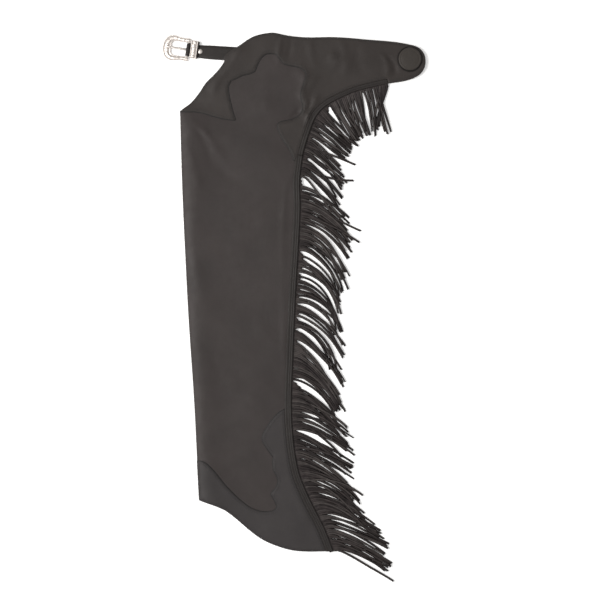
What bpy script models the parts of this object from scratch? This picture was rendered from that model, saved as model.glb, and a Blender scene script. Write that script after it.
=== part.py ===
"""Western leather show chaps: the pair lies folded flat on its side, left leg on top, right leg under it.

Every length is in millimetres. An outline's rows give (across, down): across runs from the leg's folded
front edge towards the back, and down runs from the top of the belt to the hem. The pieces hang under one
empty, which puts the middle of the whole pair's underside at the origin, with the belt towards +Y.
"""

import math

import bmesh
import bpy
from mathutils import Matrix, Vector

MM = 0.001
TAU = 2 * math.pi
SEAM = 0.3  # gap left between two pieces that are sewn or lie together
LEATHER = 1.6
OVERLAY_LEATHER = 1.5

# Heights of the layers, from the surface that the pair lies on.
RIGHT_TOP = 3.5
INNER_BOTTOM = RIGHT_TOP + SEAM
INNER_TOP = INNER_BOTTOM + LEATHER
OUTER_BOTTOM = INNER_TOP + SEAM
OUTER_TOP = OUTER_BOTTOM + LEATHER
OVERLAY_BOTTOM = OUTER_TOP + SEAM
OVERLAY_TOP = OVERLAY_BOTTOM + OVERLAY_LEATHER

FOLD_WALL = 3.0  # how far in the two halves of a leg are one at the front fold
YOKE_STRIP_WIDTH = 9.0
LEG_STRIP_WIDTH = 13.0
FRINGE_TUCK = 9.0
ZIP_INNER = 26.0  # the zip's tape lies between the tucked fringe and this distance from the leg's edge
CURVE_STEP = 5.0
CURVE_TOLERANCE = 0.25

# The silhouette, clockwise from the crotch: each edge is one smooth curve, and they meet in corners.
FRONT_EDGE = [(0, 158), (10, 150), (22, 141), (40, 119), (52, 101), (68, 85), (82, 69), (89, 58)]
BELT_FRONT_END = [(89, 58), (88, 50), (95, 42), (120, 26), (142, 11), (162, 4), (184, 1)]
BELT_TOP = [(184, 1), (212, 6), (250, 10), (300, 9.5), (345, 12), (420, 20), (456, 24)]
BELT_END = [(456, 24), (476, 30), (488, 43), (491, 59), (488, 73), (478, 85), (456, 95), (416, 102)]
YOKE_BACK = [(416, 102), (380, 110), (350, 118), (324, 129), (300, 141), (282, 155), (268, 175), (250, 227),
             (245, 246)]
ZIP_EDGE = [(245, 246), (239, 295), (240, 350), (236, 435), (231, 520), (224, 691), (223, 775), (235, 871),
            (258, 931), (288, 991), (306, 1037)]
HEM_EDGE = [(306, 1037), (245, 1037), (212, 1032), (164, 1013), (120, 979), (90, 955), (60, 943), (38, 935)]
FOLD_EDGE = [(38, 935), (28, 735), (15, 535), (4, 295), (0, 158)]

# The scalloped lower edge of the yoke, from the front fold to the back: one row list for each arc.
YOKE_SCALLOPS = [
    [(0, 159), (36, 159), (66, 167), (90, 173), (110, 175)],
    [(110, 175), (104, 155), (98, 129), (96, 109), (102, 96)],
    [(102, 96), (112, 92), (124, 86)],
    [(124, 86), (148, 78), (154, 65), (162, 51), (173, 43), (190, 43), (200, 53)],
    [(200, 53), (208, 62), (224, 66), (244, 72), (253, 84), (246, 109), (242, 125), (246, 152), (238, 167),
     (222, 175)],
    [(222, 175), (196, 184), (206, 213), (222, 238), (233, 256)],
]
YOKE_FOOT = [(231.5, 252), (229, 257)]  # the yoke's narrow end, beside the top of the leg's edge strip
# The scalloped upper edge of the hem overlay, from the front fold to the back.
HEM_SCALLOPS = [
    [(34, 857), (48, 859), (64, 873), (90, 905), (120, 935), (146, 953), (176, 959), (194, 950), (182, 922)],
    [(182, 922), (194, 907), (196, 892), (187, 871), (187, 848)],
    [(187, 848), (176, 833), (165, 811), (178, 784), (198, 761), (212, 753)],
]
HEM_OVERLAY_PEAK = (209.3, 754)  # where its scallops meet the edge strip
HEM_OVERLAY_TOP = 760
HEM_OVERLAY_FRONT = 857
LEG_STRIP_TOP = [(244.9, 246.3), (236.4, 244.1)]  # the end of the edge strip, just below the yoke's
LEG_STRIP_TOP_INNER = (232, 252)
INNER_HALF_TOP = [(-20, 152), (60, 186), (130, 216)]  # the leg's inner half stops here, below the belt
INNER_HALF_BACK_TOP = 252
FAR = 40  # how far a cutter runs past the leg
LOWEST = 1037
CUTTER_RIGHT = 540
CUTTER_LEFT_TOP = 140
ZIP_BOTTOM = 1030
CUT_PAST = 5.0

# How far the fringes reach: the free side of each, from its top end to its bottom end.
YOKE_FRINGE_REACH = [(420, 103), (414, 150), (408, 204), (380, 212), (352, 226), (340, 262), (334, 296),
                     (318, 292), (254, 248)]
LEG_FRINGE_REACH = [(250, 254), (314, 298), (330, 335), (346, 378), (333, 455), (320, 545), (316, 655),
                    (318, 740), (330, 830), (334, 895), (352, 935), (370, 980), (396, 1025), (424, 1070),
                    (425, 1092), (400, 1086), (312, 1041)]
YOKE_FRINGE_END = (247, 240)  # the two fringes stop short of each other here
LEG_FRINGE_START = (243, 256)
UNDER_FRINGE_GAP = 1.0  # the right chap's fringes start this far outside its rounded edge

ROSETTE_AT = (460, 53)
ROSETTE_BASE_RADIUS = 25.5
ROSETTE_CAP_RADIUS = 22.5
ROSETTE_BASE_THICK = 2.0
ROSETTE_CAP_THICK = 2.8

# The buckle's strap leaves the belt's front end. Its own axes are along (towards the belt) and side.
BAR_AT = (16, 34.5)
BAR_HEIGHT = 4.0
BAR_RADIUS = 2.0
BAR_CLEARANCE = 0.3
STRAP_TURN = math.radians(-8.5)
STRAP_HALF_WIDTHS = [(-10, 12.75), (20, 12.75), (60, 14.0), (110, 14.0)]  # along, half width
STRAP_TOP = [(1.8, 7.6), (3.0, 6.7), (4.6, 6.0), (62, 5.9), (70, INNER_TOP), (104, INNER_TOP)]  # along, height
STRAP_UNDERSIDE = [(104, INNER_BOTTOM), (62, INNER_BOTTOM), (61, 2.1), (4.6, 2.0), (3.0, 1.3), (1.8, 0.4)]
PRONG_SLOT = (-6, 4.8, 3.0)  # from, to, half width
SCREW_ALONG = 24.5
SCREW_RADIUS = 5.0
KEEPER_SPAN = (5.0, 18.5)
KEEPER_SIDE = 2.0  # it sits towards the strap's upper edge
KEEPER_OUTSIDE = (18.0, 0.2, 10.0, 0.8)  # half width, bottom, top, corner
KEEPER_INSIDE = (15.2, 1.6, 8.6, 0.3)

FRAME_DROOP = math.radians(-1.9)  # the buckle's outer end lies on the surface
FRAME_HALF_THICK = 2.25
FRAME_BAR_END = 2.6
FRAME_OUTSIDE = [(FRAME_BAR_END, 24.2), (-18, 25.0), (-36, 22.8), (-46, 16.5), (-51, 0)]  # along, side
FRAME_WINDOW = [(-34, 0), (-33, 8.5), (-27, 13.6), (-18, 14.0), (FRAME_BAR_END, 14.0)]
PRONG_HALF_WIDTH = 2.3
PRONG_RING_RADIUS = 3.8
PRONG_RING_ARC = (190, 480)  # from, to, in degrees: the rest of the ring is the blade's root
PRONG_BLADE = [(-8, 0.0), (-34, 2.6), (-42, 2.7), (-44, 3.3), (-42, 4.4), (-34, 4.7), (-8, 3.3)]  # along, height

COLOURS = {  # linear base colour, roughness, metallic
    "leg": ((0.057, 0.050, 0.046), 0.62, 0.0),
    "yoke": ((0.060, 0.053, 0.049), 0.58, 0.0),
    "trim": ((0.045, 0.040, 0.037), 0.60, 0.0),
    "hem": ((0.053, 0.048, 0.048), 0.60, 0.0),
    "fringe": ((0.030, 0.025, 0.025), 0.70, 0.0),
    "tape": ((0.020, 0.019, 0.019), 0.85, 0.0),
    "silver": ((0.80, 0.80, 0.80), 0.25, 1.0),
}


def clear_scene():
    for obj in list(bpy.data.objects):
        bpy.data.objects.remove(obj, do_unlink=True)


def material(name):
    """One Principled material of its own for each call, in the named colour."""
    colour, roughness, metallic = COLOURS[name]
    made = bpy.data.materials.new(name)
    made.use_nodes = True
    shader = made.node_tree.nodes["Principled BSDF"]
    shader.inputs["Base Color"].default_value = (*colour, 1)
    shader.inputs["Roughness"].default_value = roughness
    shader.inputs["Metallic"].default_value = metallic
    made.diffuse_color = (*colour, 1)
    return made


def thinned(points, tolerance):
    """The points that a curve needs: the others lie within the tolerance of the line between them."""
    first, last = points[0], points[-1]
    chord = (last - first).normalized()
    strays = [abs((p - first).x * chord.y - (p - first).y * chord.x) for p in points]
    worst = max(range(len(points)), key=strays.__getitem__)
    if strays[worst] <= tolerance:
        return [first, last]
    return thinned(points[: worst + 1], tolerance)[:-1] + thinned(points[worst:], tolerance)


def curve(rows):
    """A smooth curve through (across, down) rows, as points with y up the garment."""
    knots = points_of(rows)
    slopes = []
    for i in range(len(knots)):
        before, after = knots[max(i - 1, 0)], knots[min(i + 1, len(knots) - 1)]
        length = (knots[i] - before).length + (after - knots[i]).length
        slopes.append((after - before) / length)
    points = [knots[0]]
    for (start, end), (leave, arrive) in zip(zip(knots, knots[1:]), zip(slopes, slopes[1:])):
        length = (end - start).length
        steps = max(1, round(length / CURVE_STEP))
        for step in range(1, steps + 1):
            t = step / steps
            points.append(
                start * (2 * t**3 - 3 * t**2 + 1)
                + leave * length * (t**3 - 2 * t**2 + t)
                + end * (3 * t**2 - 2 * t**3)
                + arrive * length * (t**3 - t**2)
            )
    return thinned(points, CURVE_TOLERANCE)


def points_of(rows):
    """(across, down) rows as points with y up the garment."""
    return [Vector((across, -down)) for across, down in rows]


def joined(*curves):
    """One closed outline from curves laid end to end, anticlockwise."""
    points = []
    for piece in curves:
        for point in piece:
            if not points or (point - points[-1]).length > 0.5 * SEAM:
                points.append(point)
    if (points[0] - points[-1]).length < 0.5 * SEAM:
        points.pop()
    area = sum(a.x * b.y - b.x * a.y for a, b in zip(points, points[1:] + points[:1]))
    return points if area > 0 else points[::-1]


def beside(points, distance, closed=False):
    """The points moved to the left of their own direction, each along its mitre."""
    moved = []
    for i, point in enumerate(points):
        before = point - points[i - 1] if closed or i else points[1] - point
        after = points[(i + 1) % len(points)] - point if closed or i + 1 < len(points) else before
        left = Vector((-before.y, before.x)).normalized()
        middle = (left + Vector((-after.y, after.x)).normalized()).normalized()
        moved.append(point + middle * distance / max(middle.dot(left), 0.6))
    return moved


def plain_object(name, mesh_data, colour, parent):
    mesh_data.name = name
    mesh_data.materials.append(material(colour))
    obj = bpy.data.objects.new(name, mesh_data)
    obj.parent = parent
    bpy.context.collection.objects.link(obj)
    return obj


def loft(rings):
    """A closed mesh through rings of equal length, given in millimetres, with a flat cap at each end."""
    bm = bmesh.new()
    rows = [[bm.verts.new(Vector(point) * MM) for point in ring] for ring in rings]
    count = len(rows[0])
    for low, high in zip(rows, rows[1:]):
        for i in range(count):
            j = (i + 1) % count
            bm.faces.new((low[i], low[j], high[j], high[i]))
    bm.faces.new(rows[0][::-1])
    bm.faces.new(rows[-1])
    bmesh.ops.recalc_face_normals(bm, faces=bm.faces)
    data = bpy.data.meshes.new("loft")
    bm.to_mesh(data)
    bm.free()
    return data


def plate(name, outline, levels, colour, parent):
    """A piece cut to an anticlockwise outline. Each level is (height, how far the edge is drawn in there)."""
    rings = [[(p.x, p.y, height) for p in beside(outline, inset, closed=True)] for height, inset in levels]
    return plain_object(name, loft(rings), colour, parent)


def cut_leather(bottom, top, softened=0.35):
    """Levels of one ply of leather, with its two edges softened."""
    return [(bottom, softened), (bottom + softened, 0), (top - softened, 0), (top, softened)]


def cutter(name, outline, bottom, top, parent):
    obj = plate(name, outline, [(bottom, 0), (top, 0)], "tape", parent)
    obj.hide_render = True
    obj.display_type = "WIRE"
    return obj


def boolean(obj, other, operation):
    modifier = obj.modifiers.new(other.name, "BOOLEAN")
    modifier.operation = operation
    modifier.object = other
    modifier.solver = "EXACT"


def silhouette():
    edges = (FRONT_EDGE, BELT_FRONT_END, BELT_TOP, BELT_END, YOKE_BACK, ZIP_EDGE, HEM_EDGE, FOLD_EDGE)
    return joined(*map(curve, edges))


def leg(parent):
    """The left leg: one leather panel folded at the front, its outer half carried up under the yoke."""
    softened = 1.2
    levels = [(INNER_BOTTOM, softened), (INNER_BOTTOM + 0.5, 0.3), (INNER_BOTTOM + softened, 0),
              (OUTER_TOP - softened, 0), (OUTER_TOP - 0.5, 0.3), (OUTER_TOP, softened)]
    made = plate("left_leg", silhouette(), levels, "leg", parent)
    between = beside(curve(FOLD_EDGE)[::-1], FOLD_WALL)
    below = Vector((CUTTER_RIGHT, -LOWEST - FAR))
    beyond = [Vector((CUTTER_RIGHT, FAR)), Vector((-FAR, FAR)), Vector((-FAR, -CUTTER_LEFT_TOP))]
    slot = joined(between, [Vector((between[-1].x, below.y)), below], beyond[:1], [Vector((between[0].x, FAR))])
    boolean(made, cutter("leg_slot", slot, INNER_TOP, OUTER_BOTTOM, parent), "DIFFERENCE")
    inner_edge = [p for p in beside(curve(ZIP_EDGE), -(ZIP_INNER + 1)) if p.y < -INNER_HALF_BACK_TOP]
    above = joined(curve(INNER_HALF_TOP), inner_edge, [Vector((inner_edge[-1].x, below.y)), below], beyond)
    middle = (INNER_TOP + OUTER_BOTTOM) / 2
    boolean(made, cutter("above_inner_half", above, INNER_BOTTOM - 1, middle, parent), "DIFFERENCE")
    return made


def right_chap(parent):
    """The right leg and its yoke, folded flat beneath: rounded, with a groove between its layers all round."""
    levels = [(0, 1.2), (0.5, 0.3), (1.1, 0), (1.55, 0.3), (1.75, 1.5), (1.95, 0.3), (2.4, 0), (3.0, 0.3),
              (RIGHT_TOP, 1.2)]
    return plate("right_chap_folded_under", silhouette(), levels, "leg", parent)


def overlays(parent):
    """The yoke, its bound back edge, the leg's edge strip and the hem overlay, edge to edge in one layer."""
    levels = cut_leather(OVERLAY_BOTTOM, OVERLAY_TOP)
    back, zip_edge = curve(YOKE_BACK), curve(ZIP_EDGE)
    back_inner = beside(back, -YOKE_STRIP_WIDTH)
    zip_inner = beside(zip_edge, -LEG_STRIP_WIDTH)
    plate("left_yoke_edge_strip", joined(back, back_inner[::-1]), levels, "trim", parent)
    hem_end = zip_edge[-1] - Vector((LEG_STRIP_WIDTH + 1, 0))
    strip_top = points_of([LEG_STRIP_TOP_INNER] + LEG_STRIP_TOP[::-1])
    strip = joined(zip_edge[1:], [hem_end], zip_inner[-2:0:-1], strip_top)
    plate("left_leg_edge_strip", strip, levels, "trim", parent)

    yoke_side = beside(back, -YOKE_STRIP_WIDTH - SEAM)
    scallops = [point for rows in YOKE_SCALLOPS for point in curve(rows)]
    top = [point for rows in (FRONT_EDGE, BELT_FRONT_END, BELT_TOP, BELT_END) for point in curve(rows)]
    end = [back[0] + Vector((SEAM, -SEAM / 3))]
    yoke = joined(top[:-1], end, yoke_side, points_of(YOKE_FOOT), scallops[::-1][1:-1])
    plate("left_yoke", yoke, levels, "yoke", parent)

    hem_side = [p for p in beside(zip_edge, -LEG_STRIP_WIDTH - SEAM) if p.y < -HEM_OVERLAY_TOP]
    hem_curve = curve(HEM_EDGE)
    fold = [p for p in curve(FOLD_EDGE) if p.y < -HEM_OVERLAY_FRONT][:1]
    upper = [point for rows in HEM_SCALLOPS for point in curve(rows)]
    corner = [hem_end - Vector((SEAM, 0))]
    hem = joined(upper[:-1], points_of([HEM_OVERLAY_PEAK]), hem_side[:-1], corner, hem_curve[1:], fold)
    plate("left_hem_overlay", hem, levels, "hem", parent)


def fringe(name, header, reach, bottom, top, drawn_in, parent):
    """A plain solid of a fringe's reach, from its header to its free ends."""
    edge = beside(curve(header), -drawn_in)
    free = curve(reach)
    outline = joined(edge, free[::-1])
    plate(name, outline, [(bottom, 0), (top, 0)], "fringe", parent)


def fringes(parent):
    yoke = (YOKE_BACK[:-1] + [YOKE_FRINGE_END], YOKE_FRINGE_REACH)
    leg = ([LEG_FRINGE_START] + ZIP_EDGE[1:], LEG_FRINGE_REACH)
    for name, (header, reach) in (("yoke", yoke), ("leg", leg)):
        fringe(f"left_{name}_fringe", header, reach, INNER_BOTTOM, INNER_TOP, FRINGE_TUCK, parent)
        fringe(f"right_{name}_fringe", header, reach, 0, RIGHT_TOP, -UNDER_FRINGE_GAP, parent)


def side_zip(parent):
    """The closed zip's tape, which joins the two edges of the leg's panel under its edge strip."""
    edge = [p for p in curve(ZIP_EDGE) if p.y > -ZIP_BOTTOM][1:]
    near = beside(edge, -FRINGE_TUCK - 1)
    far = beside(edge, -ZIP_INNER)
    plate("side_zip", joined(near, far[::-1]), [(INNER_BOTTOM, 0), (INNER_TOP, 0)], "tape", parent)


def disc(name, centre, radius, bottom, thick, edge, colour, parent, sides=40):
    """A round piece with its upper rim rounded over by edge."""
    x, y = centre
    profile = [(radius, bottom)]
    for step in range(4):
        turn = step / 3 * math.pi / 2
        profile.append((radius - edge * (1 - math.cos(turn)), bottom + thick - edge * (1 - math.sin(turn))))
    rings = [
        [(x + r * math.cos(TAU * i / sides), y + r * math.sin(TAU * i / sides), z) for i in range(sides)]
        for r, z in profile
    ]
    return plain_object(name, loft(rings), colour, parent)


def rosette(parent):
    centre = (ROSETTE_AT[0], -ROSETTE_AT[1])
    base_bottom = OVERLAY_TOP + SEAM
    cap_bottom = base_bottom + ROSETTE_BASE_THICK + SEAM
    disc("rosette_base", centre, ROSETTE_BASE_RADIUS, base_bottom, ROSETTE_BASE_THICK, 1.0, "trim", parent)
    disc("rosette_cap", centre, ROSETTE_CAP_RADIUS, cap_bottom, ROSETTE_CAP_THICK, 2.2, "yoke", parent)


def side_extrusion(name, profile, half_width, colour, parent):
    """A profile of (along, height) points, as wide as half_width(along) to each side."""
    rings = [[(along, side * half_width(along), height) for along, height in profile] for side in (-1, 1)]
    return plain_object(name, loft(rings), colour, parent)


def arc(radius, height, start, end, steps):
    """(along, height) points on a circle about the bar, between two angles in degrees."""
    turns = [math.radians(start + (end - start) * i / steps) for i in range(steps + 1)]
    return [(radius * math.cos(turn), height + radius * math.sin(turn)) for turn in turns]


def bar_cylinder(name, radius, height, half_length, colour, parent, sides=20):
    profile = arc(radius, height, 0, 360 * (1 - 1 / sides), sides - 1)
    return side_extrusion(name, profile, lambda along: half_length, colour, parent)


def hidden(obj):
    obj.hide_render = True
    obj.display_type = "WIRE"
    return obj


def strap_half_width(along):
    for (start, narrow), (end, wide) in zip(STRAP_HALF_WIDTHS, STRAP_HALF_WIDTHS[1:]):
        if along <= end:
            return narrow + (wide - narrow) * (along - start) / (end - start)
    return wide


def strap(parent):
    """The strap, turned round the buckle's bar and back on its underside, with a slot for the prong."""
    loop = arc(BAR_HEIGHT, BAR_HEIGHT, 90, 270, 12)
    profile = loop + STRAP_UNDERSIDE[::-1] + STRAP_TOP[::-1]
    made = side_extrusion("buckle_strap", profile, strap_half_width, "trim", parent)
    hole = bar_cylinder("bar_hole", BAR_RADIUS + BAR_CLEARANCE, BAR_HEIGHT, 20, "tape", parent)
    boolean(made, hidden(hole), "DIFFERENCE")
    start, end, half = PRONG_SLOT
    outline = [Vector((start, -half)), Vector((end, -half)), Vector((end, half)), Vector((start, half))]
    boolean(made, cutter("prong_slot", outline, -2, 12, parent), "DIFFERENCE")
    top = dict(STRAP_TOP)[62]
    disc("strap_screw", (SCREW_ALONG, 0), SCREW_RADIUS, top + SEAM, 1.6, 1.2, "silver", parent, sides=24)


def band(name, half, bottom, top, corner, start, end, parent):
    """A block across the strap from start to end along it, with its long edges taken off."""
    low, high = KEEPER_SIDE - half, KEEPER_SIDE + half
    outline = [(low + corner, bottom), (high - corner, bottom), (high, bottom + corner), (high, top - corner),
               (high - corner, top), (low + corner, top), (low, top - corner), (low, bottom + corner)]
    rings = [[(along, side, height) for side, height in outline] for along in (start, end)]
    return plain_object(name, loft(rings), "silver", parent)


def keeper(parent):
    """The metal keeper: a band round the strap, with room for the other belt end above it."""
    start, end = KEEPER_SPAN
    made = band("keeper", *KEEPER_OUTSIDE, start, end, parent)
    inside = band("keeper_inside", *KEEPER_INSIDE, start - CUT_PAST, end + CUT_PAST, parent)
    boolean(made, hidden(inside), "DIFFERENCE")


def buckle(parent):
    """The buckle's frame and bar, and its prong, both with their origin on the bar."""
    outside, inside = curve(FRAME_OUTSIDE), curve(FRAME_WINDOW)
    mirror = Matrix(((1, 0), (0, -1)))
    near_half = [outside, inside[::-1]]
    far_half = [[mirror @ p for p in line] for line in near_half]
    outline = joined(outside, far_half[0][-2::-1], far_half[1], inside[1:])
    thick = FRAME_HALF_THICK
    levels = [(-thick, 0.8), (-thick + 0.8, 0), (thick - 0.9, 0), (thick, 1.2)]
    frame = plate("buckle_frame", outline, levels, "silver", parent)
    bar = bar_cylinder("bar", BAR_RADIUS, 0, 17, "silver", parent)
    boolean(frame, hidden(bar), "UNION")
    ring = arc(PRONG_RING_RADIUS, 0, *PRONG_RING_ARC, 16)
    prong = side_extrusion("buckle_prong", ring + PRONG_BLADE[::-1], lambda along: PRONG_HALF_WIDTH, "silver", parent)
    hole = bar_cylinder("prong_hole", BAR_RADIUS + BAR_CLEARANCE, 0, 10, "tape", parent)
    boolean(prong, hidden(hole), "DIFFERENCE")


def empty(name, parent, location=(0, 0, 0), rotation=(0, 0, 0)):
    made = bpy.data.objects.new(name, None)
    made.location = Vector(location) * MM
    made.rotation_euler = rotation
    made.parent = parent
    bpy.context.collection.objects.link(made)
    return made


def centre_over_origin(datum):
    """Moves the datum so that the middle of the whole underside is the origin."""
    bpy.context.view_layer.update()
    graph = bpy.context.evaluated_depsgraph_get()
    points = []
    for obj in bpy.data.objects:
        if obj.type == "MESH" and not obj.hide_render:
            evaluated = obj.evaluated_get(graph)
            points += [evaluated.matrix_world @ vertex.co for vertex in evaluated.data.vertices]
    low = [min(point[axis] for point in points) for axis in range(3)]
    high = [max(point[axis] for point in points) for axis in range(3)]
    datum.location = (-(low[0] + high[0]) / 2, -(low[1] + high[1]) / 2, -low[2])


def main():
    clear_scene()
    datum = empty("chaps", None)
    right_chap(datum)
    leg(datum)
    overlays(datum)
    fringes(datum)
    side_zip(datum)
    rosette(datum)
    strap_datum = empty("strap_end", datum, (BAR_AT[0], -BAR_AT[1], 0), (0, 0, STRAP_TURN))
    strap(strap_datum)
    keeper(strap_datum)
    bar_axis = empty("bar_axis", strap_datum, (0, 0, BAR_HEIGHT), (0, FRAME_DROOP, 0))
    buckle(bar_axis)
    for obj in bpy.data.objects:
        if obj.type == "MESH":
            obj.data.shade_smooth()
            obj.data.set_sharp_from_angle(angle=math.radians(30))
    centre_over_origin(datum)


main()
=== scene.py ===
"""The looks of the leather chaps: the folded pair, left leg on top, lying on a white floor, seen from above.

Lengths are in millimetres in the garment's own datum: x across from the leg's front fold, y up from the top
of the belt (so the leg runs to negative y), z up from the floor. in_frame() turns them into the CAD's metres.
"""

import math

import bmesh
import bpy
import numpy as np
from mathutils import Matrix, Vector
from mathutils.geometry import delaunay_2d_cdt


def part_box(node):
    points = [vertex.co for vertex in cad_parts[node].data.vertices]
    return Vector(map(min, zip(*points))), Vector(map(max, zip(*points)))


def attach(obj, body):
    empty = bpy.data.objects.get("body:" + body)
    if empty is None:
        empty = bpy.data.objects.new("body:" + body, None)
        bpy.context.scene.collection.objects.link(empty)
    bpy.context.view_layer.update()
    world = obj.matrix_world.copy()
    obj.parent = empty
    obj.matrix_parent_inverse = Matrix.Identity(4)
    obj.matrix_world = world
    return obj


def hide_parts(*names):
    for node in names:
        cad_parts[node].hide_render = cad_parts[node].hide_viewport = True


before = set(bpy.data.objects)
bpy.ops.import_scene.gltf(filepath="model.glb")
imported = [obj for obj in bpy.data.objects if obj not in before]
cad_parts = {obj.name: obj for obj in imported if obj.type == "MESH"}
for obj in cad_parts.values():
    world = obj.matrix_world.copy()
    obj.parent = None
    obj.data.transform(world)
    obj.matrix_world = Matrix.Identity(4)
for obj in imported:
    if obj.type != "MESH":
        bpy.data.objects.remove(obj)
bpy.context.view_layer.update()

MM = 0.001
TAU = 2 * math.pi
ORIGIN = np.array([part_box("left_leg")[0].x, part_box("left_leg")[1].y + 0.001, 0.0])
LEG_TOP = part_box("left_leg")[1].z / MM
UNDER_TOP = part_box("right_chap_folded_under")[1].z / MM
OVERLAY_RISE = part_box("left_yoke")[0].z / MM - LEG_TOP
OVERLAY_THICK = (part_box("left_yoke")[1].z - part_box("left_yoke")[0].z) / MM
PLY = 1.6
CROTCH_Y = -158.0
HEM_FRONT_Y = -935.0
HEM_BACK_Y = -1037.3


# ---------------------------------------------------------------- outlines, read from the CAD nodes

def top_border(node):
    """The border of a node's flat top as a closed anticlockwise array of (x, y), in the garment's datum."""
    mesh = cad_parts[node].data
    mesh.calc_loop_triangles()
    points = np.array([v.co for v in mesh.vertices])
    faces = np.array([t.vertices for t in mesh.loop_triangles])
    _, first, index = np.unique(np.round(points / 1e-6), axis=0, return_index=True, return_inverse=True)
    points, faces = points[first], index.reshape(-1)[faces]
    top = points[:, 2].max() - 1e-5
    flat = faces[(points[faces][:, :, 2] > top).all(axis=1)]
    after = {}
    sides = {(a, b) for face in flat for a, b in zip(face, np.roll(face, -1))}
    for a, b in sides:
        if (b, a) not in sides:
            after[a] = b
    start = min(after)
    loop = [start]
    while after[loop[-1]] != start:
        loop.append(after[loop[-1]])
    return (points[loop][:, :2] - ORIGIN[:2]) / MM


def turns(loop):
    """How far a closed loop turns at each of its points, in degrees."""
    before = loop - np.roll(loop, 1, axis=0)
    after = np.roll(loop, -1, axis=0) - loop
    cross = before[:, 0] * after[:, 1] - before[:, 1] * after[:, 0]
    return np.degrees(np.arctan2(cross, (before * after).sum(axis=1)))


def sides_of(loop, corner=38):
    """A closed loop cut into its smooth sides, at its corners."""
    corners = np.flatnonzero(np.abs(turns(loop)) > corner)
    if not len(corners):
        return [np.vstack([loop, loop[:1]])]
    loop = np.roll(loop, -corners[0], axis=0)
    stops = list(corners - corners[0]) + [len(loop)]
    closed = np.vstack([loop, loop[:1]])
    return [closed[a : b + 1] for a, b in zip(stops, stops[1:])]


def smooth_side(side, step):
    """An open line resampled about every step as a smooth curve through its points."""
    if len(side) < 3:
        length = np.linalg.norm(side[-1] - side[0])
        return side[0] + np.linspace(0, 1, max(1, round(length / step)) + 1)[:, None] * (side[-1] - side[0])
    knots = side
    spans = np.linalg.norm(np.diff(knots, axis=0), axis=1)
    slopes = np.empty_like(knots)
    ahead, behind = np.diff(knots, axis=0)[1:], np.diff(knots, axis=0)[:-1]
    weight = (spans[:-1] / (spans[:-1] + spans[1:]))[:, None]
    slopes[1:-1] = behind / spans[:-1, None] * (1 - weight) + ahead / spans[1:, None] * weight
    slopes[0], slopes[-1] = behind[0] / spans[0], ahead[-1] / spans[-1]
    made = [knots[:1]]
    for i, span in enumerate(spans):
        t = np.linspace(0, 1, max(1, math.ceil(span / step)) + 1)[1:, None]
        made.append(
            knots[i] * (2 * t**3 - 3 * t**2 + 1)
            + slopes[i] * span * (t**3 - 2 * t**2 + t)
            + knots[i + 1] * (3 * t**2 - 2 * t**3)
            + slopes[i + 1] * span * (t**3 - t**2)
        )
    return np.vstack(made)


def smooth_loop(loop, step):
    return np.vstack([smooth_side(side, step)[:-1] for side in sides_of(loop)])


def lefts(line, closed):
    """The unit normal to the left of each point of a line, and how much a mitre there lengthens it."""
    steps = np.diff(np.vstack([line, line[:1]]) if closed else line, axis=0)
    steps /= np.maximum(np.linalg.norm(steps, axis=1), 1e-9)[:, None]
    normals = np.stack([-steps[:, 1], steps[:, 0]], axis=1)
    if closed:
        before, after = np.roll(normals, 1, axis=0), normals
    else:
        before, after = np.vstack([normals[:1], normals]), np.vstack([normals, normals[-1:]])
    middle = before + after
    middle /= np.maximum(np.linalg.norm(middle, axis=1), 1e-9)[:, None]
    return middle, np.clip((middle * before).sum(axis=1), 0.6, 1)


def moved_in(line, distance, closed=True):
    """The line moved to its left: inwards, on an anticlockwise loop. The distance may differ along it."""
    normals, mitre = lefts(line, closed)
    return line + normals * (distance / mitre)[:, None]


def length_of(line):
    return np.linalg.norm(np.diff(line, axis=0), axis=1).sum()


def run_of(line):
    """The length run along an open line up to each of its points."""
    return np.concatenate([[0], np.cumsum(np.linalg.norm(np.diff(line, axis=0), axis=1))])


def read_at(line, run, at):
    """A line's values at these lengths along it."""
    return np.stack([np.interp(at, run, column) for column in line.T], axis=-1)


def by_length(line, step):
    """An open line read at equal steps of about this length."""
    run = run_of(line)
    return read_at(line, run, np.linspace(0, run[-1], max(2, round(run[-1] / step) + 1)))


def trimmed(line, end):
    """An open line without this much of each end, read at steps of about 2 mm."""
    run = run_of(line)
    return read_at(line, run, np.linspace(end, run[-1] - end, max(2, round(run[-1] / 2))))


def inside(points, loop):
    """Which points lie inside a closed loop."""
    x, y = points[:, :1], points[:, 1:2]
    a, b = loop, np.roll(loop, -1, axis=0)
    crosses = (a[:, 1] > y) != (b[:, 1] > y)
    rise = np.where(b[:, 1] == a[:, 1], 1e-9, b[:, 1] - a[:, 1])
    return (crosses & (x < (b[:, 0] - a[:, 0]) * (y - a[:, 1]) / rise + a[:, 0])).sum(axis=1) % 2 == 1


def distance_to(points, line, closed=False):
    """How far each point is from a line."""
    a = line if closed else line[:-1]
    b = np.roll(line, -1, axis=0) if closed else line[1:]
    best = np.full(len(points), 1e9)
    for start in range(0, len(a), 64):
        p, q = a[start : start + 64], b[start : start + 64]
        d = q - p
        t = ((points[:, None] - p) * d).sum(axis=2) / np.maximum((d * d).sum(axis=1), 1e-12)
        near = p + np.clip(t, 0, 1)[:, :, None] * d
        best = np.minimum(best, np.linalg.norm(points[:, None] - near, axis=2).min(axis=1))
    return best


# ---------------------------------------------------------------- the lie of the leather

SOFTENED_CUT = 0.35  # the CAD's plies have this much taken off their edges
FOLD_SOFTENED = 1.2
LEG_OUTLINE = smooth_loop(moved_in(top_border("left_leg"), -FOLD_SOFTENED), 4.0)


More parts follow.
